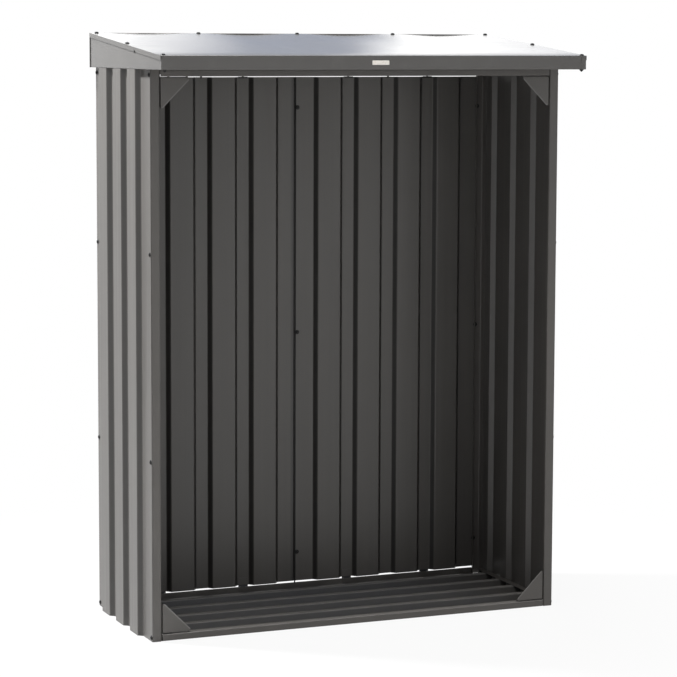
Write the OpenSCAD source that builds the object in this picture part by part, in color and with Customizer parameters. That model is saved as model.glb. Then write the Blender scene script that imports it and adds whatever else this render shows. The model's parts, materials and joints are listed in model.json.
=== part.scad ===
// Steel log store: an open-fronted lean-to of folded and roll-formed sheet.
// Millimetres. X runs across the open front, Y from the front to the back, Z up.
// The origin is on the ground, under the middle of the roof.

/* [Body] */
// Width over the flats of the two side walls
body_w = 1350; // [900:1:1800]
// Depth from the face of the front posts to the back wall
body_d = 540; // [400:1:800]
// Height of the wall frame, from the ground to the top rails
frame_h = 1720; // [1000:1:2200]

/* [Wall sheet] */
// Thickness of the wall sheet
wall_t = 0.6; // [0.4:0.1:1.2]
// Depth of the roll-formed ribs
rib_depth = 15; // [8:0.5:25]
// Width of the broad flats
wide_flat = 76; // [50:1:110]
// Width of the narrow flats between them
narrow_flat = 40; // [36:1:70]
// Run of the sloping flanks
flank_run = 13; // [8:0.5:20]
// Inner radius of the rolled bends
wall_bend = 2; // [1:0.5:3]
// Flat edge of a side wall at the front post
side_front_flat = 88; // [50:1:110]
// Flat edge of a back panel at the centre seam
seam_flat = 62; // [40:1:80]
// Lap of one back panel behind the other
seam_lap = 14; // [8:1:20]
// Depth of the step at the centre seam
seam_step = 4; // [2.5:0.5:5]
// Width of the tongue that hooks the seam behind the bottom rail
seam_tongue = 4.5; // [3:0.5:8]
// Height of the slot under the back panels
back_low_gap = 5; // [2:0.5:15]
// Height of the slot over the back panels
back_top_gap = 10.5; // [4:0.5:25]

/* [Frame] */
// Thickness of the posts and rails
frame_t = 1; // [0.8:0.1:2]
// Width of both legs of a corner post
post_w = 28; // [22:1:40]
// Depth of the return lip on a post
post_lip = 12; // [8:0.5:16]
// Height of a rail
rail_h = 21; // [16:0.5:35]
// Width of the flanges of a rail
rail_flange = 25; // [18:0.5:32]
// Slot between the face of a front rail and the posts
rail_slot = 3.5; // [1:0.5:6]
// Inner radius of the folds in posts and rails
fold_r = 2.5; // [0.8:0.1:3]

/* [Gussets] */
// Length of the two legs of a gusset plate
gusset_leg = 88; // [60:1:140]
// Width of the cut across each tip
gusset_tip = 7; // [4:0.5:15]
// Thickness of a gusset plate
gusset_t = 1.5; // [1:0.1:3]
// Space between the plate and the frame beside it
gusset_gap = 4.5; // [2.5:0.5:8]
// Space between the folded edge behind the plate and the frame
gusset_slit = 0.9; // [0.5:0.1:2]
// Set-back of the plate behind the face of the posts
gusset_inset = 1.5; // [0.5:0.5:3]
// Width of a fixing tab
gusset_tab = 7; // [5:0.5:12]
// Distance from the plate's corner to its first tab
gusset_tab_at = 24; // [12:1:30]

/* [Back panel brackets] */
// Width of the plate of a bracket
bracket_w = 33; // [22:1:34]
// Width of the strap of an upper bracket
strap_w = 7; // [5:0.5:12]
// Width of the tongue of a lower bracket
tongue_w = 20; // [10:1:21]
// Length of the foot on the rail
bracket_foot = 18; // [10:0.5:18]
// Overlap of a bracket on its panel
bracket_lap = 24; // [14:1:40]
// Rise of an upper bracket's plate over the edge of its panel
bracket_rise = 1.2; // [0.5:0.1:3]

/* [Floor] */
// Thickness of the floor sheet
floor_t = 0.7; // [0.5:0.1:1.2]
// Distance from the face of the front posts to the first rib
floor_first = 126; // [80:1:140]
// Spacing of the ribs
floor_pitch = 106; // [70:1:140]
// Width of a rib along its top
floor_rib_top = 20; // [12:1:35]
// Run of the sloping sides of a rib
floor_rib_run = 10; // [7:0.5:16]

/* [Roof] */
// Overhang in front of the posts
front_overhang = 152; // [60:1:200]
// Overhang behind the back wall
rear_overhang = 6; // [4:0.5:20]
// Height of the folded front fascia
fascia_h = 42; // [30:1:70]
// Height of the roof at the back, over the wall frame
roof_back_h = 108; // [80:1:160]
// Thickness of the roof sheet and skirts
roof_t = 0.8; // [0.6:0.1:1.2]
// Depth of the folded lips along the sides and the back
roof_lip = 14; // [10:0.5:20]
// Inner radius of the folds in roof and skirts
roof_fold = 1.5; // [0.8:0.1:2.5]
// Space between a side lip and the skirt behind it
lip_gap = 1.5; // [0.5:0.1:3]
// Space between the wall ribs and the skirts
skirt_gap = 0.6; // [0.3:0.1:2]
// Width of the skirt's return over the end of the fascia
skirt_return = 16; // [8:0.5:24]
// Width of the flange that a skirt carries the roof on
skirt_flange = 18; // [10:0.5:24]

/* [Fit] */
// Clearance at the ends of pieces that slide in
fit = 0.3; // [0.2:0.05:0.6]
// Set-back of the side walls behind the face of the front posts
wall_inset = 1.5; // [0.5:0.5:3]

/* [Hidden] */

// Steps in each fold's arc
arc_steps = 3;
// Overshoot of a cut past the face it opens
over = 1;

// Places of the frame's outer faces
roof_d = front_overhang + body_d + rear_overhang;
roof_front = -roof_d / 2;
roof_rear = roof_d / 2;
front_y = roof_front + front_overhang;
back_y = front_y + body_d;
rear_y = back_y - wall_t;
side_x = body_w / 2 - wall_t;
mid_y = (front_y + rear_y) / 2;
top_rail_z = frame_h - rail_h;

// Lengths of the rails between the posts
cross_rail_len = 2 * (side_x - post_w);
side_rail_len = rear_y - front_y - 2 * post_w;

// Wall sheet: the ribs fill the wall, and the last flat takes up what is left
rib_pitch = wide_flat + narrow_flat + 2 * flank_run;
corner_flat_min = post_w + flank_run;
side_len = body_d - wall_inset;
side_first = side_front_flat - wall_inset;
side_ribs = floor((side_len - side_first - corner_flat_min + narrow_flat) / rib_pitch);
back_len = side_x - fit;
back_pans = floor((back_len - seam_flat - corner_flat_min + narrow_flat) / rib_pitch);
back_low_z = rail_h + back_low_gap;
back_top_z = top_rail_z - back_top_gap;

// Floor: ribs as tall as the room between a rail's flanges
floor_start = frame_t + fold_r + fit;
floor_x = side_x - floor_start;
floor_len = rear_y - front_y - 2 * floor_start;
floor_rib_h = rail_h - 2 * frame_t;
floor_rib_w = floor_rib_top + 2 * floor_rib_run;
floor_ribs = floor((floor_len - floor_first - floor_rib_w / 2) / floor_pitch) + 1;

// Roof: the skirts clear the wall ribs, and the roof's lips hang outside the skirts
skirt_in = body_w / 2 + rib_depth + skirt_gap;
skirt_out = skirt_in + roof_t;
lip_in = skirt_out + lip_gap;
roof_half = lip_in + roof_t;
fascia_y = roof_front + roof_t;
roof_slope = (roof_back_h - fascia_h) / roof_d;
roof_drop = roof_t * sqrt(1 + roof_slope * roof_slope);
flange_in = side_x - rail_flange;
plate_y = roof_rear - roof_t;
skirt_rear = plate_y - roof_t - fit;

paint = [0.33, 0.33, 0.32];
roof_paint = [0.42, 0.43, 0.44];
frame_paint = [0.30, 0.30, 0.29];

// Height of the roof's upper face at a given y
function roof_z(y) = frame_h + fascia_h + (y - roof_front) * roof_slope;

function unit(v) = v / norm(v);
function left_of(v) = [-v[1], v[0]];
function turned(v, a) = [v[0] * cos(a) - v[1] * sin(a), v[0] * sin(a) + v[1] * cos(a)];
function turn_at(a, b) = atan2(a[0] * b[1] - a[1] * b[0], a * b);

// One fold: points at a distance off to the left of the path p0, p1, p2
function fold(p0, p1, p2, t, r, off) =
    let (a = unit(p1 - p0))
    let (turn = turn_at(a, unit(p2 - p1)))
    let (side = sign(turn))
    let (r_path = r + (turn * t > 0 ? abs(t) : 0))
    let (start = p1 - r_path * tan(abs(turn) / 2) * a)
    let (centre = start + side * r_path * left_of(a))
    [for (i = [0:arc_steps]) centre - (side * r_path - off) * turned(left_of(a), turn * i / arc_steps)];

// One face of a folded sheet
function face(path, t, r, off) =
    let (n = len(path) - 1)
    [
        path[0] + off * left_of(unit(path[1] - path[0])),
        for (i = [1:n - 1]) each fold(path[i - 1], path[i], path[i + 1], t, r, off),
        path[n] + off * left_of(unit(path[n] - path[n - 1]))
    ];

function reversed(list) = [for (i = [len(list) - 1:-1:0]) list[i]];

// Section of a folded sheet: the path is one face, and t is its thickness to the left
module folded(path, t, r = fold_r) {
    polygon(concat(face(path, t, r, 0), reversed(face(path, t, r, t))));
}

// A section in Y and Z, run along X
module along_x(x0, x1) {
    translate([x0, 0, 0]) rotate([90, 0, 90]) linear_extrude(x1 - x0) children();
}

// A section in X and Z, run along Y
module along_y(y0, y1) {
    translate([0, y1, 0]) rotate([90, 0, 0]) linear_extrude(y1 - y0) children();
}

// Path of a ribbed sheet: n broad flats stand off the edge flats by level
function ribbed(first, n, total, level) = [
    [0, 0],
    for (i = [0:n - 1]) let (u = first + i * rib_pitch) each [
        [u, 0],
        [u + flank_run, level],
        [u + flank_run + wide_flat, level],
        [u + 2 * flank_run + wide_flat, 0]
    ],
    [total, 0]
];

// Middle of the narrow flat after back pan i, measured from the seam
function back_rib_x(i) = seam_flat + (i + 1) * rib_pitch - narrow_flat / 2;

// Corner post: a lipped angle with its outer corner at the origin
module post() {
    color(frame_paint) linear_extrude(frame_h)
        folded([[0, post_w], [0, 0], [post_w, 0], [post_w, post_lip]], frame_t);
}

module front_left_post() {
    translate([-side_x, front_y, 0]) post();
}

module front_right_post() {
    mirror([1, 0, 0]) front_left_post();
}

module rear_left_post() {
    translate([-side_x, rear_y, 0]) mirror([0, 1, 0]) post();
}

module rear_right_post() {
    mirror([1, 0, 0]) rear_left_post();
}

// Sections of the rails, and of the lug that closes a rail's end and lies on a post's lip
channel = [[rail_flange, rail_h], [0, rail_h], [0, 0], [rail_flange, 0]];
angle = [[0, rail_h], [0, 0], [rail_flange, 0]];
fold_out = frame_t + fold_r;
lug_z = frame_t / 2;
lug = [
    [0, fold_out], [fold_out, lug_z], [post_lip, lug_z],
    [post_lip, rail_h - lug_z], [fold_out, rail_h - lug_z], [0, rail_h - fold_out]
];

// Rail: its outer face is on y = 0, and it is open towards +Y
module rail(length, section) {
    half = length / 2;
    color(frame_paint) union() {
        along_x(-half, half) folded(section, frame_t);
        along_x(-half, frame_t - half) polygon(lug);
        along_x(half - frame_t, half) polygon(lug);
    }
}

// The face of a front rail stops short of the posts, and its flanges and lugs reach them
module front_rail(z) {
    half = cross_rail_len / 2;
    color(frame_paint) translate([0, front_y, z]) difference() {
        rail(cross_rail_len, channel);
        for (x = [-half - over, half - rail_slot])
            translate([x, -over, -over]) cube([rail_slot + over, fold_out + over, rail_h + 2 * over]);
    }
}

module rear_rail(z, section) {
    translate([0, rear_y, z]) rotate([0, 0, 180]) rail(cross_rail_len, section);
}

module left_rail(z) {
    translate([-side_x, mid_y, z]) rotate([0, 0, -90]) rail(side_rail_len, channel);
}

module front_bottom_rail() front_rail(0);
// The rear bottom rail is an angle, so that the slot over it stays clear
module rear_bottom_rail() rear_rail(0, angle);
module left_bottom_rail() left_rail(0);
module right_bottom_rail() mirror([1, 0, 0]) left_rail(0);
module front_top_rail() front_rail(top_rail_z);
module rear_top_rail() rear_rail(top_rail_z, channel);
module left_top_rail() left_rail(top_rail_z);
module right_top_rail() mirror([1, 0, 0]) left_rail(top_rail_z);

// Side wall: the broad flats stand out, and the edges lie on the posts
module left_side_wall() {
    color(paint) translate([-body_w / 2, front_y + wall_inset, 0]) rotate([0, 0, 90])
        linear_extrude(frame_h)
            folded(ribbed(side_first, side_ribs, side_len, rib_depth), -wall_t, wall_bend);
}

module right_side_wall() mirror([1, 0, 0]) left_side_wall();

// Back panel: the broad flats stand in, and the outer edge lies on the rear post
module back_panel(path) {
    color(paint) translate([0, back_y, back_low_z]) linear_extrude(back_top_z - back_low_z)
        folded(path, -wall_t, wall_bend);
}

// Path of a back panel after its seam edge
back_path = ribbed(seam_flat, back_pans, back_len, -rib_depth);
back_rest = [for (i = [1:len(back_path) - 1]) back_path[i]];

// The right panel's seam edge is turned back to stiffen it
module right_back_panel() {
    turned_edge = [[0, seam_step - wall_t], [0, 0]];
    back_panel(concat(turned_edge, back_rest));
}

// The left panel steps back at the seam and laps behind the right one
module left_back_panel() {
    step_at = wall_t + fit + wall_bend;
    lap_edge = [[-seam_lap, seam_step], [step_at, seam_step], [step_at + seam_step, 0]];
    mirror([1, 0, 0]) union() {
        back_panel(concat(lap_edge, back_rest));
        color(paint) translate([-seam_tongue / 2, back_y + seam_step - wall_t, rail_h / 2])
            cube([seam_tongue, wall_t, back_low_z - rail_h / 2 + over]);
    }
}

// Strap from under the top rail to the inner face of a narrow flat
module upper_strap(x) {
    section = [
        [rear_y - bracket_foot, top_rail_z], [rear_y, top_rail_z], [rear_y, back_top_z - bracket_lap]
    ];
    along_x(x - strap_w / 2, x + strap_w / 2) folded(section, -frame_t);
}

// Plate on the inner face of a narrow flat, between two heights
module rib_plate(x, width, low_z, high_z) {
    translate([x - width / 2, rear_y - frame_t, low_z]) cube([width, frame_t, high_z - low_z]);
}

// Every rib has a strap, and the first and last rib of each panel a broad plate as well
module upper_panel_brackets() {
    color(frame_paint) for (side = [-1, 1], i = [0:back_pans - 2]) union() {
        x = side * back_rib_x(i);
        upper_strap(x);
        if (i == 0 || i == back_pans - 2)
            rib_plate(x, bracket_w, back_top_z - bracket_lap, back_top_z + bracket_rise);
    }
}

// Lower bracket: a plate on the narrow flat, stepped to a tongue on the face of the rail
module lower_bracket(x) {
    web_y = rear_y - frame_t;
    plate_z = rail_h + fit;
    top_z = back_low_z + bracket_lap;
    tongue = [
        [web_y, floor_start + frame_t], [web_y, plate_z + frame_t],
        [rear_y, plate_z + 3 * frame_t], [rear_y, top_z]
    ];
    along_x(x - tongue_w / 2, x + tongue_w / 2) folded(tongue, frame_t, frame_t);
    rib_plate(x, bracket_w, plate_z, top_z);
}

module lower_panel_brackets() {
    color(frame_paint) for (side = [-1, 1], i = [0, back_pans - 2]) union()
        lower_bracket(side * back_rib_x(i));
}

// Path of the floor sheet, from front to back
function floor_path() = [
    [floor_start, 0],
    for (i = [0:floor_ribs - 1]) let (u = floor_first + i * floor_pitch) each [
        [u - floor_rib_w / 2, 0],
        [u - floor_rib_top / 2, floor_rib_h],
        [u + floor_rib_top / 2, floor_rib_h],
        [u + floor_rib_w / 2, 0]
    ],
    [floor_start + floor_len, 0]
];

// Floor sheet: it slides between the rails' flanges, with its corners cut for the posts
module floor_sheet() {
    notch = post_w + frame_t + fit;
    color(paint) difference() {
        translate([0, front_y, frame_t]) along_x(-floor_x, floor_x) floor_section();
        for (x = [-side_x, side_x - notch], y = [front_y, rear_y - notch])
            translate([x, y, 0]) cube([notch, notch, rail_h]);
    }
}

// The ribs' tops stop under the rail's flange, and the pans lie on the lower one
module floor_section() {
    under = [for (p = floor_path()) [p[0], p[1] > 0 ? p[1] - floor_t : 0]];
    folded(under, floor_t, wall_bend);
}

// Gusset plate in X and Z, with its corner at the inner corner of the frame
module gusset_outline() {
    near = gusset_gap;
    far = gusset_gap + gusset_leg;
    tip = gusset_gap + gusset_tip;
    polygon([[near, near], [far, near], [far, tip], [tip, far], [near, far]]);
}

// Edge of a gusset in its own X and Y: folded back, then out, with tabs that reach the frame
module gusset_edge() {
    near = gusset_gap;
    far = gusset_gap + gusset_leg;
    edge_d = post_lip - gusset_inset;
    reach = near + gusset_t;
    translate([near, 0, near]) cube([gusset_leg, edge_d, gusset_t]);
    translate([near, edge_d - gusset_t, gusset_slit]) cube([gusset_leg, gusset_t, reach - gusset_slit]);
    for (u = [near + gusset_tab_at, far - gusset_tab])
        translate([u, edge_d - gusset_t, 0]) cube([gusset_tab, gusset_t, reach]);
}

// Gusset: a flat plate with a folded edge along each leg
module gusset() {
    color(frame_paint) union() {
        along_y(0, gusset_t) gusset_outline();
        gusset_edge();
        mirror([1, 0, -1]) gusset_edge();
    }
}

module bottom_left_gusset() {
    translate([-side_x + post_w, front_y + gusset_inset, rail_h]) gusset();
}

module top_left_gusset() {
    translate([-side_x + post_w, front_y + gusset_inset, top_rail_z]) mirror([0, 0, 1]) gusset();
}

module bottom_right_gusset() mirror([1, 0, 0]) bottom_left_gusset();
module top_right_gusset() mirror([1, 0, 0]) top_left_gusset();

// A band in Y and Z that follows the roof from y0 to y1, between two depths under its upper face
module roof_band(y0, y1, high, low) {
    polygon([
        [y0, roof_z(y0) - low], [y1, roof_z(y1) - low],
        [y1, roof_z(y1) - high], [y0, roof_z(y0) - high]
    ]);
}

// Everything under the roof sheet, down past the skirts
module under_roof() {
    polygon([
        [roof_front, frame_h], [roof_rear, frame_h],
        [roof_rear, roof_z(roof_rear) - roof_drop], [roof_front, roof_z(roof_front) - roof_drop]
    ]);
}

// Roof sheet: the slope with its front fascia, back lip and two side lips
module roof_sheet() {
    slope = [
        [fascia_y, frame_h], [fascia_y, roof_z(fascia_y)],
        [roof_rear, roof_z(roof_rear)], [roof_rear, roof_z(roof_rear) - roof_lip]
    ];
    color(roof_paint) union() {
        difference() {
            along_x(-roof_half, roof_half) folded(slope, -roof_t, roof_fold);
            along_x(-roof_half, -skirt_in + fit) under_roof();
            along_x(skirt_in - fit, roof_half) under_roof();
        }
        along_x(-roof_half, -lip_in) roof_band(fascia_y, roof_rear, roof_drop / 2, roof_lip);
        along_x(lip_in, roof_half) roof_band(fascia_y, roof_rear, roof_drop / 2, roof_lip);
    }
}

// Roof skirt: a tapered end plate with a foot on the wall frame, a return over the
// fascia and a flange under the roof sheet
module right_roof_skirt() {
    foot = [[flange_in, frame_h], [skirt_out, frame_h], [skirt_out, roof_z(roof_rear)]];
    foot_front = fascia_y + roof_t + fit;
    flange_front = foot_front + rail_flange;
    flange_rear = skirt_rear - rail_flange;
    color(roof_paint) difference() {
        union() {
            intersection() {
                along_y(roof_front, skirt_rear) folded(foot, roof_t, roof_fold);
                along_x(flange_in, skirt_out) under_roof();
            }
            along_x(skirt_in - skirt_flange, skirt_out)
                roof_band(flange_front, flange_rear, roof_drop, 2 * roof_drop);
            along_x(skirt_out - skirt_return, skirt_out) skirt_return_section();
        }
        translate([flange_in - over, fascia_y, frame_h - over])
            cube([skirt_in - flange_in + over, foot_front - fascia_y, fascia_h]);
    }
}

// The return covers the fascia's end, up to the roof sheet
module skirt_return_section() {
    translate([roof_front, frame_h]) square([roof_t, fascia_h - roof_drop - roof_fold]);
}

module left_roof_skirt() mirror([1, 0, 0]) right_roof_skirt();

// Rear roof plate: it stands on the rear top rail, carries the back edge of the roof and
// covers the ends of the skirts
module rear_roof_plate() {
    half = skirt_in - fit;
    wing_h = roof_z(plate_y - roof_t) - roof_lip - fit - frame_h;
    under = roof_z(plate_y) - roof_drop;
    lean_y = plate_y - skirt_flange;
    section = [
        [rear_y - rail_flange, frame_h], [plate_y, frame_h], [plate_y, under],
        [lean_y, roof_z(lean_y) - roof_drop]
    ];
    foot_cut = half - flange_in + 2 * fit;
    color(roof_paint) difference() {
        union() {
            along_x(-half, half) folded(section, roof_t, roof_fold);
            for (x = [-roof_half, half])
                translate([x, plate_y - roof_t, frame_h]) cube([roof_half - half, roof_t, wing_h]);
        }
        for (x = [-half - fit, half + fit - foot_cut])
            translate([x, front_y, frame_h - over])
                cube([foot_cut, plate_y - roof_t - front_y, roof_fold + roof_t + over]);
        for (x = [-half - fit, half + fit - skirt_flange])
            translate([x, lean_y - over, under - skirt_flange])
                cube([skirt_flange, skirt_flange - roof_t + over, 2 * skirt_flange]);
    }
}

front_left_post();
front_right_post();
rear_left_post();
rear_right_post();
front_bottom_rail();
rear_bottom_rail();
left_bottom_rail();
right_bottom_rail();
front_top_rail();
rear_top_rail();
left_top_rail();
right_top_rail();
left_side_wall();
right_side_wall();
left_back_panel();
right_back_panel();
upper_panel_brackets();
lower_panel_brackets();
floor_sheet();
top_left_gusset();
top_right_gusset();
bottom_left_gusset();
bottom_right_gusset();
roof_sheet();
left_roof_skirt();
right_roof_skirt();
rear_roof_plate();
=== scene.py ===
# %% [markdown]
# # A steel log store, dressed in Blender
# The store is an open-fronted lean-to of folded and roll-formed sheet. Its solids were drawn in
# CAD, so the posts, rails, walls and roof already have their true shape and place. Blender adds
# what a drawing leaves out: the paint, the screws, the slight waves and dips of thin sheet, and
# the light. Everything is in metres, in the same frame as the CAD model.

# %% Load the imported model
import json
import math

import bmesh
import bpy
from mathutils import Matrix, Vector


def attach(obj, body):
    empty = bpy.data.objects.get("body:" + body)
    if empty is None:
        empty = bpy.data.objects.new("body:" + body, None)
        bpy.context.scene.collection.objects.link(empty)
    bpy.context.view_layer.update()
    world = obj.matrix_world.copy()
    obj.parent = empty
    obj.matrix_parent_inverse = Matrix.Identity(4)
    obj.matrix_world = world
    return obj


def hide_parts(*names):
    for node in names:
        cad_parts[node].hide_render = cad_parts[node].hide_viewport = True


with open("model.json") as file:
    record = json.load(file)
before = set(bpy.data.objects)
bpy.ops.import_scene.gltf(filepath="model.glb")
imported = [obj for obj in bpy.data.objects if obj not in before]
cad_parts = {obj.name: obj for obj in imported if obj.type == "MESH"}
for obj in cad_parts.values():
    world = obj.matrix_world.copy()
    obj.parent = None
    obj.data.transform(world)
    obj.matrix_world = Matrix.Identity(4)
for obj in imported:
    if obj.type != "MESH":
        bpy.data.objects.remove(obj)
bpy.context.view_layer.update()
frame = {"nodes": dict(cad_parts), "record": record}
nodes = frame["nodes"]
bpy.context.view_layer.update()

# %% [markdown]
# ## Small helpers for node trees
# A material is a graph of nodes. Writing each node by hand makes long cells, so these helpers add
# a node, set its values and join it to what feeds it. A value that is a socket is linked, and any
# other value is written straight into the socket, where an exporter can read it.


# %% Helpers that add and join nodes
def feed(tree, socket, value):
    """Links a socket to another, or writes a plain value into it."""
    if isinstance(value, bpy.types.NodeSocket):
        tree.links.new(value, socket)
    else:
        socket.default_value = value


def add_node(tree, kind, settings=None, **inputs):
    """Adds a node; settings are its properties, and inputs are values or sockets by socket name."""
    node = tree.nodes.new(kind)
    for name, value in (settings or {}).items():
        setattr(node, name, value)
    for name, value in inputs.items():
        feed(tree, node.inputs[name.replace("_", " ")], value)
    return node


def combine(tree, operation, first, second):
    """One step of arithmetic between two values."""
    step = add_node(tree, "ShaderNodeMath", {"operation": operation})
    feed(tree, step.inputs[0], first)
    feed(tree, step.inputs[1], second)
    return step.outputs["Value"]


def axes_of(tree, vector):
    """The X, Y and Z of a place or a direction."""
    return add_node(tree, "ShaderNodeSeparateXYZ", Vector=vector).outputs


print("node helpers are ready")

# %% [markdown]
# ## Helpers for masks and patterns
# Paint changes from place to place: it is worn here, dirty there, thin in a groove. A mask is a
# number from 0 to 1 that says how much of that there is, and most masks here are ramps on a place
# or a direction. A noise pattern breaks them up, and a second colour shows through by the mask.


# %% Helpers for masks, patterns and bumps
def remap(tree, value, span, to_span):
    """Takes a value from one span to another, and stops at the ends."""
    ranged = add_node(tree, "ShaderNodeMapRange", Value=value, From_Min=span[0], From_Max=span[1])
    feed(tree, ranged.inputs["To Min"], to_span[0])
    feed(tree, ranged.inputs["To Max"], to_span[1])
    return ranged.outputs["Result"]


def band(tree, value, start, end, strength=1.0):
    """A mask that rises over the start span, stays, and falls over the end span."""
    rising = remap(tree, value, start, (0.0, strength))
    falling = remap(tree, value, end, (1.0, 0.0))
    return combine(tree, "MULTIPLY", rising, falling)


def pattern(tree, place, scale, detail=2.0, stretch=(1, 1, 1)):
    """A noise pattern with so many cycles per metre; a low stretch draws it out along that axis."""
    drawn = add_node(tree, "ShaderNodeMapping", Vector=place, Scale=stretch)
    cloud = add_node(
        tree, "ShaderNodeTexNoise", Vector=drawn.outputs["Vector"], Scale=scale, Detail=detail
    )
    return cloud.outputs["Fac"]


def blend_colours(tree, share, first, second):
    """A colour between two others; a share of 0 gives the first and 1 the second."""
    mixer = add_node(tree, "ShaderNodeMix", {"data_type": "RGBA"})
    feed(tree, mixer.inputs[0], share)
    feed(tree, mixer.inputs[6], first)
    feed(tree, mixer.inputs[7], second)
    return mixer.outputs[2]


def raise_bumps(tree, heights):
    """Stacks bump patterns, each a pair of a height pattern and its depth in metres."""
    normal = None
    for height, depth in heights:
        bump = add_node(tree, "ShaderNodeBump", Height=height, Strength=1.0, Distance=depth)
        if normal is not None:
            tree.links.new(normal, bump.inputs["Normal"])
        normal = bump.outputs["Normal"]
    return normal


print("mask and pattern helpers are ready")

# %% [markdown]
# ## The paint
# The sheets are sprayed with a dark grey powder coat and baked. Such a skin is never one flat
# colour: it drifts a little from batch to batch, it has a fine orange-peel dimple about a
# millimetre across, and where the sheet ran through the rollers the gloss changes in long faint
# streaks. Thin sheet is also a little wavy, which shows as slow bends in what it reflects. All of
# these are noise patterns on Object coordinates, so they stay with the metal in every view.


# %% A blank material to start from
def grey(level, warmth=0.0):
    """A near-neutral grey; warmth moves it from blue to yellow."""
    return (level * (1 + warmth), level, level * (1 - warmth), 1.0)


def blank_material(name):
    """A new material: itself, its node tree, its shader and the place on the piece."""
    material = bpy.data.materials.new(name)
    material.use_nodes = True
    tree = material.node_tree
    place = add_node(tree, "ShaderNodeTexCoord").outputs["Object"]
    return material, tree, tree.nodes["Principled BSDF"], place


def paint_over(tree, shader, share, under, over):
    """Lets a second colour show over the first by a share from 0 to 1."""
    feed(tree, shader.inputs["Base Color"], blend_colours(tree, share, under, over))


print("a dark grey of the coat:", [round(part, 3) for part in grey(0.068, 0.08)])


# %% A powder coat that each finish starts from
def powder_coat(name, level, warmth, roughness, grain, wave_depth, streaks=0.05):
    """A coat of paint; grain draws its roller streaks out along an axis, streaks is their gloss."""
    material, tree, shader, place = blank_material(name)
    drift = pattern(tree, place, scale=2.3, detail=3.0)
    streak = pattern(tree, place, scale=60.0, detail=2.0, stretch=grain)
    fleck = pattern(tree, place, scale=900.0, detail=1.0)
    peel = pattern(tree, place, scale=420.0, detail=2.0)
    wave = pattern(tree, place, scale=3.1, detail=1.0)
    slow_tone = combine(tree, "MULTIPLY", drift, 0.6)
    streak_tone = combine(tree, "MULTIPLY", streak, 0.4)
    tone = combine(tree, "ADD", slow_tone, streak_tone)
    share = remap(tree, tone, (0.3, 0.7), (0.5 - 10 * streaks, 0.5 + 10 * streaks))
    colour = blend_colours(tree, share, grey(level * 0.9, warmth), grey(level * 1.1, warmth))
    spots = remap(tree, fleck, (0.62, 0.8), (0.0, 0.3))
    colour = blend_colours(tree, spots, colour, grey(level * 1.5, warmth))
    streak_gloss = remap(tree, streak, (0.25, 0.75), (roughness - streaks, roughness + streaks))
    slow_gloss = remap(tree, drift, (0.3, 0.7), (-0.02, 0.02))
    peel_depth = 0.00006
    bumps = raise_bumps(tree, [(wave, wave_depth), (peel, peel_depth)])
    feed(tree, shader.inputs["Base Color"], colour)
    feed(tree, shader.inputs["Roughness"], combine(tree, "ADD", streak_gloss, slow_gloss))
    feed(tree, shader.inputs["Normal"], bumps)
    shader.inputs["IOR"].default_value = 1.5
    print("made", name, "with", len(tree.nodes), "nodes")
    return material, tree, shader, place, colour


print("the powder coat is ready")

# %% [markdown]
# ## The frame's paint
# Logs go in and out over the front rail, so its top edge is scuffed pale, and the pale top face is
# also a painted highlight of the light from above. The mask for that is a product of two ramps: one
# on how far a face looks up, and one on how near the front it lies. The gussets are plain cut
# plates, and a narrow pale strip along each slanted edge is a painted highlight, where the cut edge
# catches the light. Every slanted edge keeps a fixed sum of its distances from the middle of the
# front, so one ramp on that sum finds all four.

# %% Paint for the posts and rails
even_grain = (0.3, 0.3, 0.3)
front_rail_lip = (-0.180, -0.165)
frame_coat, tree, shader, place, colour = powder_coat(
    "frame_coat", level=0.068, warmth=0.08, roughness=0.40, grain=even_grain, wave_depth=0.0006
)
facing = add_node(tree, "ShaderNodeNewGeometry").outputs["Normal"]
looks_up = remap(tree, axes_of(tree, facing)["Z"], (0.3, 0.9), (0.0, 0.9))
near_front = remap(tree, axes_of(tree, place)["Y"], front_rail_lip, (1.0, 0.0))
scuffed_and_lit = combine(tree, "MULTIPLY", looks_up, near_front)
# The pale top of the front rail is scuffed paint and a painted highlight of the light from above.
paint_over(tree, shader, scuffed_and_lit, colour, grey(0.21, 0.04))
print("scuffed from Y", front_rail_lip[1], "to the front")

# %% Measure the slanted edges of the gussets
front_middle = 0.86
gusset_fronts = -0.195
edge_sums = []
for gusset in ("bottom_left_gusset", "top_right_gusset"):
    corners = [vertex.co for vertex in nodes[gusset].data.vertices if vertex.co.y < gusset_fronts]
    edge_sums.append(min(abs(corner.x) + abs(corner.z - front_middle) for corner in corners))
edge_sum = sum(edge_sums) / 2
print("sums along the slanted edges:", edge_sums)

# %% Paint for the gussets
gusset_coat, tree, shader, place, colour = powder_coat(
    "gusset_coat", level=0.068, warmth=0.08, roughness=0.40, grain=even_grain, wave_depth=0.0006
)
offset = add_node(tree, "ShaderNodeVectorMath", {"operation": "SUBTRACT"})
feed(tree, offset.inputs[0], place)
feed(tree, offset.inputs[1], (0.0, 0.0, front_middle))
distance = add_node(tree, "ShaderNodeVectorMath", {"operation": "ABSOLUTE"})
feed(tree, distance.inputs[0], offset.outputs["Vector"])
distances = axes_of(tree, distance.outputs["Vector"])
slanted = combine(tree, "ADD", distances["X"], distances["Z"])
# Painted highlight: a pale strip along each slanted edge, where the cut edge catches the light.
painted_edge_highlight = remap(tree, slanted, (edge_sum + 0.003, edge_sum + 0.006), (0.7, 0.0))
paint_over(tree, shader, painted_edge_highlight, colour, grey(0.15, 0.03))
print("pale strip at a sum of", round(edge_sum, 4))
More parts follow.
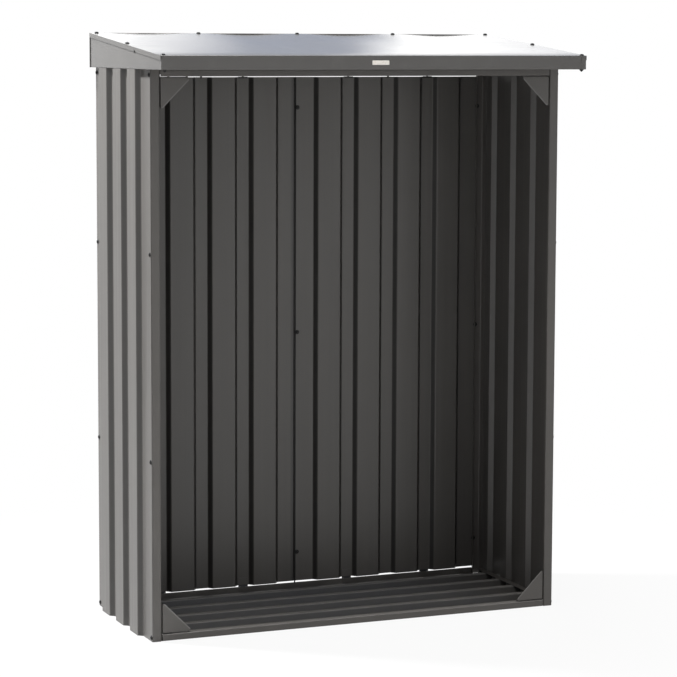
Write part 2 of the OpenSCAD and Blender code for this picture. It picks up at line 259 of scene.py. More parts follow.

# %% [markdown]
# ## The walls' paint
# The wall sheets have streaks that run up and down. On the back panels the steep flanks between the
# flats are painted near black, as painted shade. The flats lie at two depths in Y, and whatever lies
# between those depths is flank, so a band on Y finds it. The groove where the two panels lap is
# darkened as well, as a painted shadow, and a band on X finds that. On the side walls the flanks are
# found along X, but only on the outside, and they are darkened there as painted shade.

# %% Paint for the side walls
upright_grain = (1.0, 1.0, 0.02)
wall_coat, tree, shader, place, colour = powder_coat(
    "wall_coat", level=0.064, warmth=0.07, roughness=0.38, grain=upright_grain, wave_depth=0.0015
)
sideways = axes_of(tree, place)["X"]
wall_facing = add_node(tree, "ShaderNodeNewGeometry").outputs["Normal"]
faces_out = combine(tree, "MULTIPLY", sideways, axes_of(tree, wall_facing)["X"])
outside = remap(tree, faces_out, (0.0, 0.1), (0.0, 0.6))
off_middle = combine(tree, "ABSOLUTE", sideways, 0.0)
inner_flat, outer_flat = (0.6765, 0.6785), (0.6870, 0.6885)
wall_flank = band(tree, off_middle, inner_flat, outer_flat)
painted_flank_shade = combine(tree, "MULTIPLY", wall_flank, outside)
# Painted shade: the outside flanks of the side walls are darkened where they turn away from the light.
paint_over(tree, shader, painted_flank_shade, colour, grey(0.022, 0.08))
print("side flanks from", inner_flat[0], "to", outer_flat[1])

# %% Paint for the back panels
back_coat, tree, shader, place, colour = powder_coat(
    "back_coat", level=0.067, warmth=0.07, roughness=0.38, grain=upright_grain, wave_depth=0.0015
)
back_place = axes_of(tree, place)
front_flat, rear_flat = (0.3293, 0.3313), (0.3395, 0.3415)
back_flank = band(tree, back_place["Y"], front_flat, rear_flat, strength=0.8)
lap_start, lap_end = (-0.0190, -0.0060), (0.0008, 0.0022)
groove = band(tree, back_place["X"], lap_start, lap_end, strength=0.9)
painted_flank_and_groove_shade = combine(tree, "MAXIMUM", back_flank, groove)
# Painted shade on the back panels' flanks and a painted shadow in the lap groove, both near black.
paint_over(tree, shader, painted_flank_and_groove_shade, colour, grey(0.010, 0.05))
print("back flanks from", front_flat[0], "to", rear_flat[1])

# %% [markdown]
# ## The floor's paint
# Logs are dragged over the floor, so its paint is the first to wear: the tops of the ribs get paler,
# and bark dust settles between them. Height tells the two apart. The rib tops lie 20 mm above the
# ground and the pans about 1 mm, so a ramp on Z picks out each, and a scratch pattern breaks the worn
# part up. The paler tops are also a painted highlight of the light from above, and the floor's coat
# is a darker copy of the walls', as painted shade inside the store.

# %% Paint for the floor
along_x = (0.02, 1.0, 1.0)
# The low level of this coat is painted shade: the floor is a darker copy of the walls' coat.
floor_coat, tree, shader, place, colour = powder_coat(
    "floor_coat", level=0.040, warmth=0.07, roughness=0.45, grain=along_x, wave_depth=0.0008
)
floor_height = axes_of(tree, place)["Z"]
on_top = remap(tree, floor_height, (0.0165, 0.0195), (0.0, 1.0))
scratches = pattern(tree, place, scale=160.0, detail=3.0, stretch=(0.06, 1.0, 1.0))
worn_and_lit = combine(tree, "MULTIPLY", on_top, remap(tree, scratches, (0.4, 0.7), (0.6, 1.0)))
in_pan = remap(tree, floor_height, (0.002, 0.012), (1.0, 0.0))
patches = remap(tree, pattern(tree, place, scale=14.0, detail=4.0), (0.45, 0.75), (0.0, 0.35))
dust = combine(tree, "MULTIPLY", in_pan, patches)
# The paler rib tops are worn paint and a painted highlight of the light from above.
colour = blend_colours(tree, worn_and_lit, colour, grey(0.17, 0.04))
bark_dust = (0.075, 0.066, 0.055, 1.0)
paint_over(tree, shader, dust, colour, bark_dust)
print("worn rib tops and dusty pans on", floor_coat.name)

# %% [markdown]
# ## The roof's paint
# The roof sheet came off the roll along its length, so its faint streaks run along X. Rain dries on
# it in runs that follow the fall, along Y, and leaves a thin film of dust that is a little paler
# than the coat.

# %% Paint for the roof
roof_coat, tree, shader, place, colour = powder_coat(
    "roof_coat", level=0.060, warmth=0.05, roughness=0.22, grain=along_x, wave_depth=0.0016, streaks=0.012
)
runs = pattern(tree, place, scale=22.0, detail=3.0, stretch=(1.0, 0.08, 1.0))
film = remap(tree, runs, (0.5, 0.8), (0.0, 0.15))
paint_over(tree, shader, film, colour, grey(0.11, 0.02))
print("rain runs on", roof_coat.name)

# %% [markdown]
# ## The brackets' paint
# The small brackets have the panels' coat where they lap on them. Where they cross the slots they
# are painted near black, as painted shade, so that they stand out black against the daylight. The
# slots lie at two heights, so ramps on Z find them.

# %% Paint for the brackets
bracket_coat, tree, shader, place, colour = powder_coat(
    "bracket_coat", level=0.067, warmth=0.07, roughness=0.40, grain=even_grain, wave_depth=0.0004
)
bracket_height = axes_of(tree, place)["Z"]
in_top_slot = remap(tree, bracket_height, (1.6835, 1.6850), (0.0, 1.0))
rail_top, panel_foot = (0.0205, 0.0215), (0.0260, 0.0275)
in_low_slot = band(tree, bracket_height, rail_top, panel_foot)
painted_slot_shade = combine(tree, "MAXIMUM", in_top_slot, in_low_slot)
# Painted shade: the parts of the brackets inside the slots are near black.
paint_over(tree, shader, painted_slot_shade, colour, grey(0.006))
print("dark undercoat in the slots on", bracket_coat.name)

# %% [markdown]
# ## Painting the CAD pieces
# The record says which kind of paint each piece has. The floor, the back panels, the gussets and
# the brackets have a coat of their own, and the last words of their names pick them out.

# %% Give each CAD piece its paint
slot_coats = {"frame_paint": frame_coat, "wall_paint": wall_coat, "roof_paint": roof_coat}
own_coats = {
    "floor_sheet": floor_coat,
    "back_panel": back_coat,
    "gusset": gusset_coat,
    "panel_brackets": bracket_coat,
}
for subpart in frame["record"]["subparts"]:
    coat = slot_coats[subpart["material_slot"]]
    for ending, own_coat in own_coats.items():
        if subpart["node"].endswith(ending):
            coat = own_coat
    paints = nodes[subpart["node"]].data.materials
    paints.clear()
    paints.append(coat)

# %% [markdown]
# ## Where the screws go
# The sheets are held to the frame with short screws, and each one has a washer under its head and a
# nut inside. To place one, a straight line is sent at the store from where the fitter would stand,
# and the first sheet that it meets carries the screw. That way every head sits on real metal.


# %% Find what a straight line meets
def touch(start, direction):
    """The first CAD surface that a line meets: the point, and the way the surface faces."""
    nearest = None
    for piece in nodes.values():
        hit, point, facing, _ = piece.ray_cast(Vector(start), Vector(direction))
        length = (point - Vector(start)).length
        if hit and (nearest is None or length < nearest):
            nearest, found, outward = length, point.copy(), facing.copy()
    if outward.dot(Vector(direction)) > 0:
        outward.negate()
    return found, outward


print("over the middle the roof is at", round(touch((0, 0, 3), (0, 0, -1))[0].z, 4))

# %% Place the screws, nuts and rivets of the walls and the back
sides = (-1, 1)
wall_edges = (-0.187, 0.334)
wall_heights = (0.012, 0.548, 1.172, 1.704)
back_edges = (-0.652, 0.006, 0.652)
back_heights = (0.123, 0.855, 1.590)
rivet_along, rivet_height = -0.1055, 1.7722
corner_nut_across, corner_nut_along = 0.679, -0.343
heads = []
nuts = []
rivets = []
for side in sides:
    for along in wall_edges:
        for height in wall_heights:
            heads.append(touch((side, along, height), (-side, 0, 0)))
for across in back_edges:
    for height in back_heights:
        heads.append(touch((across, 1, height), (0, -1, 0)))
        nuts.append(touch((across, 0, height), (0, 1, 0)))
for side in sides:
    rivets.append(touch((side, rivet_along, rivet_height), (-side, 0, 0)))
    nuts.append(touch((side * corner_nut_across, corner_nut_along, 1.0), (0, 0, 1)))
print("screw heads:", len(heads), "nuts:", len(nuts), "rivets:", len(rivets))

# %% Place the screws of the roof
screw_pitch = 0.3375
sheet_end = 2 * screw_pitch
back_row, side_row = 0.333, 0.682
side_steps = (-0.338, 0.0)
roof_places = [(step * screw_pitch - sheet_end, back_row) for step in range(5)]
roof_places += [(side * side_row, along) for side in sides for along in side_steps]
roof_heads = [touch((across, along, 3), (0, 0, -1)) for across, along in roof_places]
print("roof screws:", len(roof_heads))

# %% [markdown]
# ## The roof sheet, hung from its screws
# Thin sheet is stiff along a fold and soft away from it. Five screws hold the roof along the back,
# where the plate's fold keeps a straight line, and between them the sheet and the flange under it
# hang down a few millimetres. Seen so flat, that small dip shows as a dark sliver along the back
# edge. The drawing has both flat, so here copies of the two are cut into strips, and each corner
# is lowered by a rule: nothing at the screws and at the fold, most halfway between two screws, and
# less and less towards the front.

# %% The rule of the dip
dip_front, dip_full, dip_fold = -0.25, 0.3455, 0.347
span_dips = (0.0030, 0.0046, 0.0046, 0.0040)


def dip(x, y):
    """How far the sheet hangs below the drawing at a place."""
    if abs(x) >= sheet_end or not dip_front < y < dip_fold:
        return 0.0
    along = (x + sheet_end) / screw_pitch
    between = 0.5 - 0.5 * math.cos(math.tau * along)
    share = (y - dip_front) / (dip_full - dip_front)
    fade = share * share * (3 - 2 * share)
    if y > dip_full:
        fade = (dip_fold - y) / (dip_fold - dip_full)
    return span_dips[int(along)] * between * fade


print("dip halfway between the first two screws:", round(dip(-1.5 * screw_pitch, dip_full), 4))

# %% Where the sheets are cut into strips
strips = 12
strip_depth, last_strip = 0.045, 0.002
cuts_across = [step * screw_pitch / strips - sheet_end for step in range(4 * strips + 1)]
cuts_along = [step * strip_depth + dip_front for step in range(14)]
cuts_along += [dip_full - last_strip, dip_full, dip_fold]
cuts = [(Vector((1, 0, 0)), across) for across in cuts_across]
cuts += [(Vector((0, 1, 0)), along) for along in cuts_along]
print("cuts:", len(cuts))

# %% Bend copies of the roof sheet and the rear plate
flat_on_top = 0.85


def put_in_scene(name, data):
    """A new object at the origin, linked to the scene."""
    thing = bpy.data.objects.new(name, data)
    bpy.context.scene.collection.objects.link(thing)
    return thing


def clean_slivers(shape):
    """Closes up edges of no length, which would leave faces of no area."""
    bmesh.ops.dissolve_degenerate(shape, edges=shape.edges, dist=1e-5)


def bent_copy(name, node):
    """A copy of a CAD piece that is cut into strips and hung by the rule of the dip."""
    shape = bmesh.new()
    shape.from_mesh(nodes[node].data)
    bmesh.ops.remove_doubles(shape, verts=shape.verts, dist=1e-6)
    clean_slivers(shape)
    bmesh.ops.dissolve_limit(shape, angle_limit=0.005, verts=shape.verts, edges=shape.edges)
    for axis, cut in cuts:
        everything = shape.verts[:] + shape.edges[:] + shape.faces[:]
        bmesh.ops.bisect_plane(shape, geom=everything, dist=1e-6, plane_co=axis * cut, plane_no=axis)
    clean_slivers(shape)
    for corner in shape.verts:
        corner.co.z -= dip(corner.co.x, corner.co.y)
    shape.normal_update()
    for face in shape.faces:
        face.smooth = face.normal.z > flat_on_top
    mesh = bpy.data.meshes.new(name)
    shape.to_mesh(mesh)
    shape.free()
    mesh.materials.append(roof_coat)
    piece = put_in_scene(name, mesh)
    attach(piece, "root")
    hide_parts(node)
    print(name, "faces:", len(mesh.polygons))


bent_copy("hung_roof", "roof_sheet")
bent_copy("bent_plate", "rear_roof_plate")

# %% [markdown]
# ## One screw head, repeated
# A pan head is a turned shape: a flat washer, a short upright side and a rounded top with a cross
# pressed into it. In Geometry Nodes it grows from a disc that is extruded in steps, and each step
# is scaled to give the next ring. The tree then puts one head on every point, turns it to face the
# way the sheet faces, and spins it by a random angle with a fixed seed, because no fitter lines the
# crosses up.


# %% Helpers that grow a turned shape
def times(tree, value, factor):
    """A size times a plain number."""
    return combine(tree, "MULTIPLY", value, factor)


def join(tree, shapes):
    """Several shapes as one."""
    whole = add_node(tree, "GeometryNodeJoinGeometry")
    for shape in shapes:
        tree.links.new(shape, whole.inputs["Geometry"])
    return whole.outputs["Geometry"]


def grow(tree, corners, radius, steps):
    """A disc pulled up in steps of a height and a scale, closed underneath."""
    disc = add_node(
        tree, "GeometryNodeMeshCircle", {"fill_type": "NGON"}, Vertices=corners, Radius=radius
    )
    skin = disc.outputs["Mesh"]
    under = add_node(tree, "GeometryNodeFlipFaces", Mesh=skin)
    top = True
    for height, scale in steps:
        pulled = add_node(
            tree, "GeometryNodeExtrudeMesh", Mesh=skin, Selection=top, Offset_Scale=height
        )
        top = pulled.outputs["Top"]
        sized = add_node(
            tree, "GeometryNodeScaleElements", Geometry=pulled.outputs["Mesh"], Selection=top, Scale=scale
        )
        skin = sized.outputs["Geometry"]
    whole = join(tree, (skin, under.outputs["Mesh"]))
    closed = add_node(tree, "GeometryNodeMergeByDistance", Geometry=whole, Distance=1e-6)
    return closed.outputs["Geometry"]


def disc_with_rim(tree, corners, radius, height, rim, top_scale=0.94):
    """A round or many-sided plate with a slightly smaller top, such as a washer or a nut."""
    steps = [(times(tree, height, 1 - rim), 1.0), (times(tree, height, rim), top_scale)]
    return grow(tree, corners, radius, steps)


def lift(tree, shape, height):
    """Moves a shape up by a height."""
    rise = add_node(tree, "ShaderNodeCombineXYZ", Z=height)
    moved = add_node(tree, "GeometryNodeTransform", Geometry=shape, Translation=rise.outputs["Vector"])
    return moved.outputs["Geometry"]


print("helpers for turned shapes are ready")


# %% Helpers that start and end a geometry tree
def new_tree(name, sizes):
    """A modifier tree with a geometry input, named sizes, a seed and a material."""
    tree = bpy.data.node_groups.new(name, "GeometryNodeTree")
    tree.is_modifier = True
    tree.interface.new_socket("Geometry", in_out="INPUT", socket_type="NodeSocketGeometry")
    for size, value in sizes.items():
        socket = tree.interface.new_socket(size, in_out="INPUT", socket_type="NodeSocketFloat")
        socket.default_value = value
    tree.interface.new_socket("Seed", in_out="INPUT", socket_type="NodeSocketInt")
    tree.interface.new_socket("Finish", in_out="INPUT", socket_type="NodeSocketMaterial")
    tree.interface.new_socket("Geometry", in_out="OUTPUT", socket_type="NodeSocketGeometry")
    start = tree.nodes.new("NodeGroupInput")
    end = tree.nodes.new("NodeGroupOutput")
    return tree, start.outputs, end.inputs


def place_on_points(tree, inputs, outputs, shape):
    """Puts a shape on every point, faced and spun, and makes it plain mesh with its finish."""
    vector_kind = {"data_type": "FLOAT_VECTOR"}
    facing = add_node(tree, "GeometryNodeInputNamedAttribute", vector_kind, Name="facing")
    aligned = add_node(tree, "FunctionNodeAlignRotationToVector", {"axis": "Z"})
    feed(tree, aligned.inputs["Vector"], facing.outputs["Attribute"])
    spin = add_node(tree, "FunctionNodeRandomValue", {"data_type": "FLOAT"}, Seed=inputs["Seed"])
    feed(tree, spin.inputs[2], 0.0)
    feed(tree, spin.inputs[3], math.tau)
    turn = add_node(tree, "FunctionNodeAxisAngleToRotation", Axis=(0.0, 0.0, 1.0))
    feed(tree, turn.inputs["Angle"], spin.outputs[1])
    whole_turn = add_node(tree, "FunctionNodeRotateRotation", {"rotation_space": "LOCAL"})
    feed(tree, whole_turn.inputs["Rotation"], aligned.outputs["Rotation"])
    feed(tree, whole_turn.inputs["Rotate By"], turn.outputs["Rotation"])
    placed = add_node(
        tree, "GeometryNodeInstanceOnPoints", Points=inputs["Geometry"], Instance=shape
    )
    feed(tree, placed.inputs["Rotation"], whole_turn.outputs["Rotation"])
    real = add_node(tree, "GeometryNodeRealizeInstances", Geometry=placed.outputs["Instances"])
    finished = add_node(tree, "GeometryNodeSetMaterial", Geometry=real.outputs["Geometry"])
    feed(tree, finished.inputs["Material"], inputs["Finish"])
    feed(tree, outputs["Geometry"], finished.outputs["Geometry"])
    print(tree.name, "tree:", len(tree.nodes), "nodes")


print("helpers for geometry trees are ready")

# %% The tree of a screw head
head_sizes = {
    "Washer Radius": 0.0072,
    "Washer Height": 0.0010,
    "Head Radius": 0.0058,
    "Head Height": 0.0024,
    "Cross Width": 0.0010,
}
round_corners, head_corners = 32, 24
dome_steps = ((0.40, 1.0), (0.25, 0.95), (0.20, 0.84), (0.15, 0.62))
cross_length = 1.15
subtract = {"operation": "DIFFERENCE", "solver": "EXACT"}
head_tree, sizes, result = new_tree("screw_heads", head_sizes)
washer = disc_with_rim(
    head_tree, round_corners, sizes["Washer Radius"], sizes["Washer Height"], rim=0.3
)
head_steps = []
for share, scale in dome_steps:
    head_steps.append((times(head_tree, sizes["Head Height"], share), scale))
head = grow(head_tree, head_corners, sizes["Head Radius"], head_steps)
long_side = times(head_tree, sizes["Head Radius"], cross_length)
short_side = sizes["Cross Width"]
for x_size, y_size in ((long_side, short_side), (short_side, long_side)):
    bar_size = add_node(
        head_tree, "ShaderNodeCombineXYZ", X=x_size, Y=y_size, Z=sizes["Head Height"]
    )
    bar = add_node(head_tree, "GeometryNodeMeshCube", Size=bar_size.outputs["Vector"])
    raised_bar = lift(head_tree, bar.outputs["Mesh"], sizes["Head Height"])
    pressed = add_node(head_tree, "GeometryNodeMeshBoolean", subtract)
    feed(head_tree, pressed.inputs["Mesh 1"], head)
    feed(head_tree, pressed.inputs["Mesh 2"], raised_bar)
    head = pressed.outputs["Mesh"]
raised_head = lift(head_tree, head, sizes["Washer Height"])
place_on_points(head_tree, sizes, result, join(head_tree, (washer, raised_head)))

# %% [markdown]
# ## The nut inside
# Inside the store each screw ends in a hexagon nut on a washer, with the end of the thread proud of
# it. All three are discs with a rim, of different sizes and numbers of corners, so one helper makes
# each of them, and the tree stacks them up.

# %% The tree of a nut
nut_sizes = {
    "Washer Radius": 0.0072,
    "Washer Height": 0.0012,
    "Nut Radius": 0.0053,
    "Nut Height": 0.0034,
    "Thread Radius": 0.0020,
    "Thread End": 0.0024,
}
nut_tree, sizes, result = new_tree("nuts", nut_sizes)
nut_corners, thread_corners = 6, 16
nut_washer = disc_with_rim(
    nut_tree, round_corners, sizes["Washer Radius"], sizes["Washer Height"], rim=0.3
)
nut = disc_with_rim(nut_tree, nut_corners, sizes["Nut Radius"], sizes["Nut Height"], rim=0.15)
thread = disc_with_rim(
    nut_tree, thread_corners, sizes["Thread Radius"], sizes["Thread End"], rim=0.3
)
nut_top = combine(nut_tree, "ADD", sizes["Washer Height"], sizes["Nut Height"])
raised_nut = lift(nut_tree, nut, sizes["Washer Height"])
raised_thread = lift(nut_tree, thread, nut_top)
stack = join(nut_tree, (nut_washer, raised_nut, raised_thread))
place_on_points(nut_tree, sizes, result, stack)

# %% [markdown]
# ## The screws' finish
# The heads are painted nearly black before they are fitted, and the driver chips the paint at the
# rim of the cross. A noise pattern a few millimetres across thins the paint here and there.

# %% Paint for the fixings
fixing_coat, tree, shader, place = blank_material("fixing_coat")
chips = remap(tree, pattern(tree, place, scale=700.0, detail=3.0), (0.62, 0.74), (0.0, 0.4))
paint_over(tree, shader, chips, grey(0.007), grey(0.10))
gloss = remap(tree, pattern(tree, place, scale=300.0), (0.3, 0.7), (0.32, 0.5))
feed(tree, shader.inputs["Roughness"], gloss)
pits, pit_depth = pattern(tree, place, scale=1500.0), 0.00004
feed(tree, shader.inputs["Normal"], raise_bumps(tree, [(pits, pit_depth)]))
shader.inputs["Specular IOR Level"].default_value = 0.25
print("made", fixing_coat.name)

# %% [markdown]
# ## The fixings in place
# Each set of places becomes a mesh of loose points that carry the way their sheet faces. The tree
# runs on those points as a modifier, and its result is copied into a plain mesh, because loose
# points and live modifiers are of no use to an exporter. The roof's screws and the rivets are the
# same head in other sizes.


# %% Put the heads and nuts in place
def fixings(name, tree, places, seed, sizes=None):
    """A mesh with one fixing on each place, facing as its sheet does; sizes change the tree's."""
    points = bpy.data.meshes.new(name + "_points")
    points.from_pydata([point for point, _ in places], [], [])
    facing = points.attributes.new("facing", "FLOAT_VECTOR", "POINT")
    for item, (_, direction) in zip(facing.data, places):
        item.vector = direction
    carrier = put_in_scene(name + "_points", points)
    modifier = carrier.modifiers.new("fixings", "NODES")
    modifier.node_group = tree
    inputs = [item for item in tree.interface.items_tree if item.in_out == "INPUT"]
    keys = {item.name: item.identifier for item in inputs}
    modifier[keys["Seed"]] = seed
    modifier[keys["Finish"]] = fixing_coat
    for size, value in (sizes or {}).items():
        modifier[keys[size]] = value
    depsgraph = bpy.context.evaluated_depsgraph_get()
    mesh = bpy.data.meshes.new_from_object(carrier.evaluated_get(depsgraph))
    carrier.modifiers.remove(modifier)
    bpy.data.objects.remove(carrier)
    mesh.materials.clear()
    mesh.materials.append(fixing_coat)
    mesh.polygons.foreach_set("material_index", [0] * len(mesh.polygons))
    piece = put_in_scene(name, mesh)
    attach(piece, "root")
    print(name, "faces:", len(mesh.polygons))


roof_sizes = {
    "Washer Radius": 0.0072, "Washer Height": 0.0012, "Head Radius": 0.0060, "Head Height": 0.0033,
}
rivet_sizes = {
    "Washer Radius": 0.0050, "Washer Height": 0.0003, "Head Radius": 0.0041, "Head Height": 0.0011,
}
fixings("screw_heads", head_tree, heads, seed=7)
fixings("lip_rivets", head_tree, rivets, seed=3, sizes=rivet_sizes)
fixings("roof_screws", head_tree, roof_heads, seed=5, sizes=roof_sizes)
fixings("screw_nuts", nut_tree, nuts, seed=11)

# %% [markdown]
# ## The plate on the fascia
# A small blank plate is stuck on the middle of the fascia, where an owner can write. It is stamped
# from thin aluminium with rounded corners and a soft edge, and enamelled a pale cream. Four corner
# arcs give the outline, and a smaller outline in front of it makes the soft edge.

# %% Enamel for the plate
plate_coat, tree, shader, place = blank_material("plate_coat")
pale_cream, deep_cream = (0.82, 0.79, 0.74, 1.0), (0.70, 0.66, 0.61, 1.0)
brown_film = (0.50, 0.45, 0.40, 1.0)
brushed = pattern(tree, place, scale=900.0, detail=2.0, stretch=(0.05, 1.0, 1.0))
enamel = blend_colours(tree, brushed, deep_cream, pale_cream)
grime = remap(tree, pattern(tree, place, scale=180.0, detail=3.0), (0.45, 0.75), (0.0, 0.5))
paint_over(tree, shader, grime, enamel, brown_film)
feed(tree, shader.inputs["Roughness"], remap(tree, brushed, (0.3, 0.7), (0.30, 0.42)))
brush_depth = 0.00003
feed(tree, shader.inputs["Normal"], raise_bumps(tree, [(brushed, brush_depth)]))
print("made", plate_coat.name)

# %% The outline of the plate
plate_width, plate_height, plate_round, plate_edge = 0.0550, 0.0132, 0.002, 0.0003
plate_middle, plate_back, plate_thick = Vector((-0.0003, 0, 1.7411)), -0.3482, 0.0007


def outline(inset, depth):
    """The plate's rounded outline, drawn in by an inset, at a depth in Y."""
    points = []
    for side_x, side_z, start in ((1, 1, 0), (-1, 1, 90), (-1, -1, 180), (1, -1, 270)):
        for step in range(7):
            angle = math.radians(start + 15 * step)
            x = side_x * (plate_width / 2 - plate_round) + (plate_round - inset) * math.cos(angle)
            z = side_z * (plate_height / 2 - plate_round) + (plate_round - inset) * math.sin(angle)
            points.append(plate_middle + Vector((x, depth, z)))
    return points


print("points round the plate:", len(outline(0, plate_back)))

# %% Stamp the plate
plate_shape = bmesh.new()
layers = []
for inset, forward in ((0, 0), (0, plate_thick - plate_edge), (plate_edge, plate_thick)):
    layers.append([plate_shape.verts.new(point) for point in outline(inset, plate_back - forward)])
plate_shape.faces.new(layers[0])
plate_shape.faces.new(layers[-1])
for lower, upper in zip(layers, layers[1:]):
    for this in range(len(lower)):
        after = (this + 1) % len(lower)
        plate_shape.faces.new((lower[this], lower[after], upper[after], upper[this]))
bmesh.ops.recalc_face_normals(plate_shape, faces=plate_shape.faces)
plate_mesh = bpy.data.meshes.new("fascia_plate")
plate_shape.to_mesh(plate_mesh)
plate_shape.free()
plate_mesh.materials.append(plate_coat)
fascia_plate = put_in_scene("fascia_plate", plate_mesh)
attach(fascia_plate, "root")
print("plate faces:", len(plate_mesh.polygons))

# %% [markdown]
# ## The floor and the backdrop
# The store stands on a plain pale floor that fades into a white background. The background is a
# white world that the camera and the reflections see. Higher up it turns to a cooler, dimmer tone,
# like the ceiling of a studio, so that the roof has something to reflect. The floor is white too,
# but part of it is ordinary matt paint, so it still takes the store's shadow.


# %% Helpers for what only lights or only shows
def seen_directly(tree):
    """One for what the camera sees, also in reflections and through glass."""
    path = add_node(tree, "ShaderNodeLightPath").outputs
    mirrored = combine(tree, "MAXIMUM", path["Is Glossy Ray"], path["Is Transmission Ray"])
    return combine(tree, "MAXIMUM", path["Is Camera Ray"], mirrored)


def choose(tree, share, first, second, output):
    """Mixes two shaders by a share, and sends the result to the output of the tree."""
    mixed = add_node(tree, "ShaderNodeMixShader")
    feed(tree, mixed.inputs[0], share)
    feed(tree, mixed.inputs[1], first.outputs[0])
    feed(tree, mixed.inputs[2], second.outputs[0])
    feed(tree, add_node(tree, output).inputs["Surface"], mixed.outputs[0])


def bare_tree(owner):
    """The node tree of a material or a world, with nothing in it yet."""
    owner.use_nodes = True
    owner.node_tree.nodes.clear()
    return owner.node_tree


plain_white = (1.0, 1.0, 1.0, 1.0)
print("helpers for the studio are ready")

# %% The world around the store
world = bpy.data.worlds.new("studio")
bpy.context.scene.world = world
tree = bare_tree(world)
direction = axes_of(tree, add_node(tree, "ShaderNodeTexCoord").outputs["Generated"])
ceiling = (0.34, 0.38, 0.46, 1.0)
overhead = remap(tree, direction["Z"], (0.10, 0.20), (0.0, 1.0))
sky = blend_colours(tree, overhead, plain_white, ceiling)
shown = add_node(tree, "ShaderNodeBackground", Color=sky, Strength=1.0)
from_side = remap(tree, direction["X"], (-0.9, 0.1), (0.6, 1.0))
from_above = remap(tree, direction["Z"], (0.15, 0.75), (0.70, 0.40))
strength = combine(tree, "MULTIPLY", from_side, from_above)
lighting = add_node(tree, "ShaderNodeBackground", Color=plain_white, Strength=strength)
choose(tree, seen_directly(tree), lighting, shown, "ShaderNodeOutputWorld")
print("world:", world.name)

# %% The floor
floor_mesh = bpy.data.meshes.new("studio_floor")
floor_shape = bmesh.new()
bmesh.ops.create_grid(floor_shape, x_segments=8, y_segments=8, size=30.0)
floor_shape.to_mesh(floor_mesh)
floor_shape.free()
studio_floor = put_in_scene("studio_floor", floor_mesh)
gap_under_store = 0.0005
studio_floor.location.z = -gap_under_store
floor_paint = bpy.data.materials.new("studio_floor_paint")
tree = bare_tree(floor_paint)
matt = add_node(tree, "ShaderNodeBsdfDiffuse", Color=grey(0.45))
white = add_node(tree, "ShaderNodeEmission", Color=plain_white, Strength=1.0)
from_store = add_node(tree, "ShaderNodeVectorMath", {"operation": "LENGTH"})
feed(tree, from_store.inputs[0], add_node(tree, "ShaderNodeTexCoord").outputs["Object"])
whiteness = remap(tree, from_store.outputs["Value"], (0.8, 2.0), (0.93, 1.0))
share = combine(tree, "MULTIPLY", seen_directly(tree), whiteness)
choose(tree, share, matt, white, "ShaderNodeOutputMaterial")
floor_mesh.materials.append(floor_paint)
print("floor:", studio_floor.name)

# %% [markdown]
# ## The lamps
# The main lamp stands high to the left and behind, so it lights the left wall and the roof and
# leaves the open front in a softer light. A large panel hangs high over the front for what faces
# up there, and a wide, gentle panel to the right of the camera gives the front its sheen.


# %% Set up the lamps
def panel(name, place, aim, size, power, colour):
    """A soft rectangular lamp at a place, turned to face its aim."""
    lamp = bpy.data.lights.new(name, "AREA")
    lamp.shape = "RECTANGLE"
    lamp.size, lamp.size_y = size
    lamp.energy = power
    lamp.color = colour
    holder = put_in_scene(name, lamp)
    towards = Vector(aim) - Vector(place)
    turn = towards.to_track_quat("-Z", "Y").to_matrix().to_4x4()
    holder.matrix_world = Matrix.Translation(place) @ turn
    holder.visible_camera = False
    print(name, power, "W")


cool, warm, warmer = (0.96, 0.98, 1.0), (1.0, 0.98, 0.95), (1.0, 0.97, 0.93)
panel("main_lamp", (-3.3, 2.05, 5.9), aim=(0, 0, 0.9), size=(0.6, 0.6), power=1780, colour=cool)
panel("high_panel", (-0.4, -1.3, 6.0), aim=(-0.4, -0.6, 0.0), size=(3.0, 1.8), power=240, colour=warm)
panel("front_panel", (3.0, -6.2, 0.75), aim=(0, 0, 0.8), size=(4.4, 1.5), power=20, colour=warmer)

# %% [markdown]
# ## The card that the roof reflects
# Seen so flat, the roof is nearly a mirror of what stands behind the store. A photographer would
# hang a white card there and light it in patches. This card glows at its left and right and stays
# dark between, so the roof shows a soft white glare at both sides and the cool ceiling between them.


# %% Hang the glowing card
def card(name, left, right, low, high, finish):
    """An upright card between two places on the ground plan, which the camera doesn't see."""
    mesh = bpy.data.meshes.new(name)
    corners = [(*left, low), (*right, low), (*right, high), (*left, high)]
    mesh.from_pydata(corners, [], [(0, 1, 2, 3)])
    mesh.materials.append(finish)
    hung = put_in_scene(name, mesh)
    hung.visible_camera = False
    print("card:", name)
    return hung


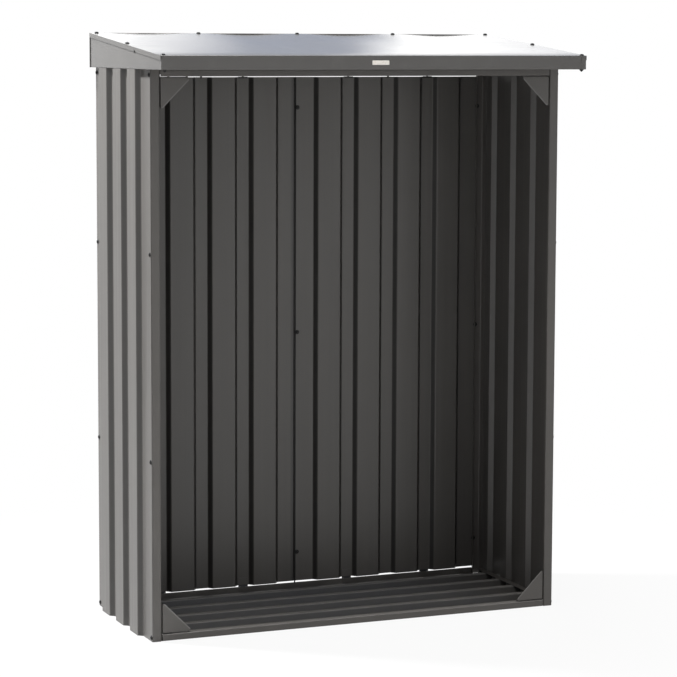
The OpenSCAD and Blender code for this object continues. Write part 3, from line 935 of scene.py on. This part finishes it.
card_glow = bpy.data.materials.new("card_glow")
tree = bare_tree(card_glow)
card_across = axes_of(tree, add_node(tree, "ShaderNodeTexCoord").outputs["Object"])["X"]
left_patch = remap(tree, card_across, (1.61, 2.61), (1.0, 0.0))
right_patch = band(tree, card_across, (3.35, 3.73), (3.95, 6.4))
lit = combine(tree, "MAXIMUM", left_patch, right_patch)
dim_blue, bright = (0.34, 0.40, 0.54, 1.0), (2.3, 2.3, 2.3, 1.0)
glow = blend_colours(tree, lit, dim_blue, bright)
glowing = add_node(tree, "ShaderNodeEmission", Color=glow, Strength=1.0)
feed(tree, add_node(tree, "ShaderNodeOutputMaterial").inputs["Surface"], glowing.outputs[0])
card("roof_card", (-1.5, 7.6), (5.6, 7.6), low=1.9, high=5.2, finish=card_glow)

# %% [markdown]
# ## The dark cards
# A glossy wall seen from so far round mirrors what stands behind it to the left. If that is all
# white, the shadow under the roof's edge turns milky. A matt black card on that side takes the
# white away, so that the main lamp alone shapes the left wall. A second one, a narrow strip close
# behind the roof's back edge, keeps the main lamp from shining through the slot above the panels.

# %% Hang the dark cards
shade_black = bpy.data.materials.new("shade_black")
tree = bare_tree(shade_black)
cloth = add_node(tree, "ShaderNodeBsdfDiffuse", Color=grey(0.03))
feed(tree, add_node(tree, "ShaderNodeOutputMaterial").inputs["Surface"], cloth.outputs[0])
card("shade_card", (-8.0, 3.0), (-2.4, 4.1), low=0.2, high=4.6, finish=shade_black)
slot_card = card("slot_card", (-0.78, 0.40), (0.62, 0.40), low=1.80, high=1.93, finish=shade_black)
slot_card.visible_glossy = False

# %% [markdown]
# ## The camera
# The camera stands to the left of the store, a little below the height of the roof, and looks
# slightly down with a long lens. Its place, turn and lens were solved from the corners of the
# store.

# %% Set up the camera
camera_data = bpy.data.cameras.new("camera")
camera_data.sensor_width = 36.0
camera_data.lens = 133.456
camera_data.shift_y = -0.04
camera_data.dof.use_dof = False
camera = put_in_scene("camera", camera_data)
stand = (-3.0104, -7.2585, 1.8094)
turn_right = math.radians(22.594)
look_down = math.radians(6.183)
lean = math.radians(0.202)
ahead = math.cos(look_down)
looking = Vector(
    (math.sin(turn_right) * ahead, math.cos(turn_right) * ahead, -math.sin(look_down))
)
turned = looking.to_track_quat("-Z", "Y").to_matrix().to_4x4() @ Matrix.Rotation(lean, 4, "Z")
camera.matrix_world = Matrix.Translation(stand) @ turned
bpy.context.scene.camera = camera
bpy.context.scene.view_settings.view_transform = "Standard"
print("camera at", list(camera.location))
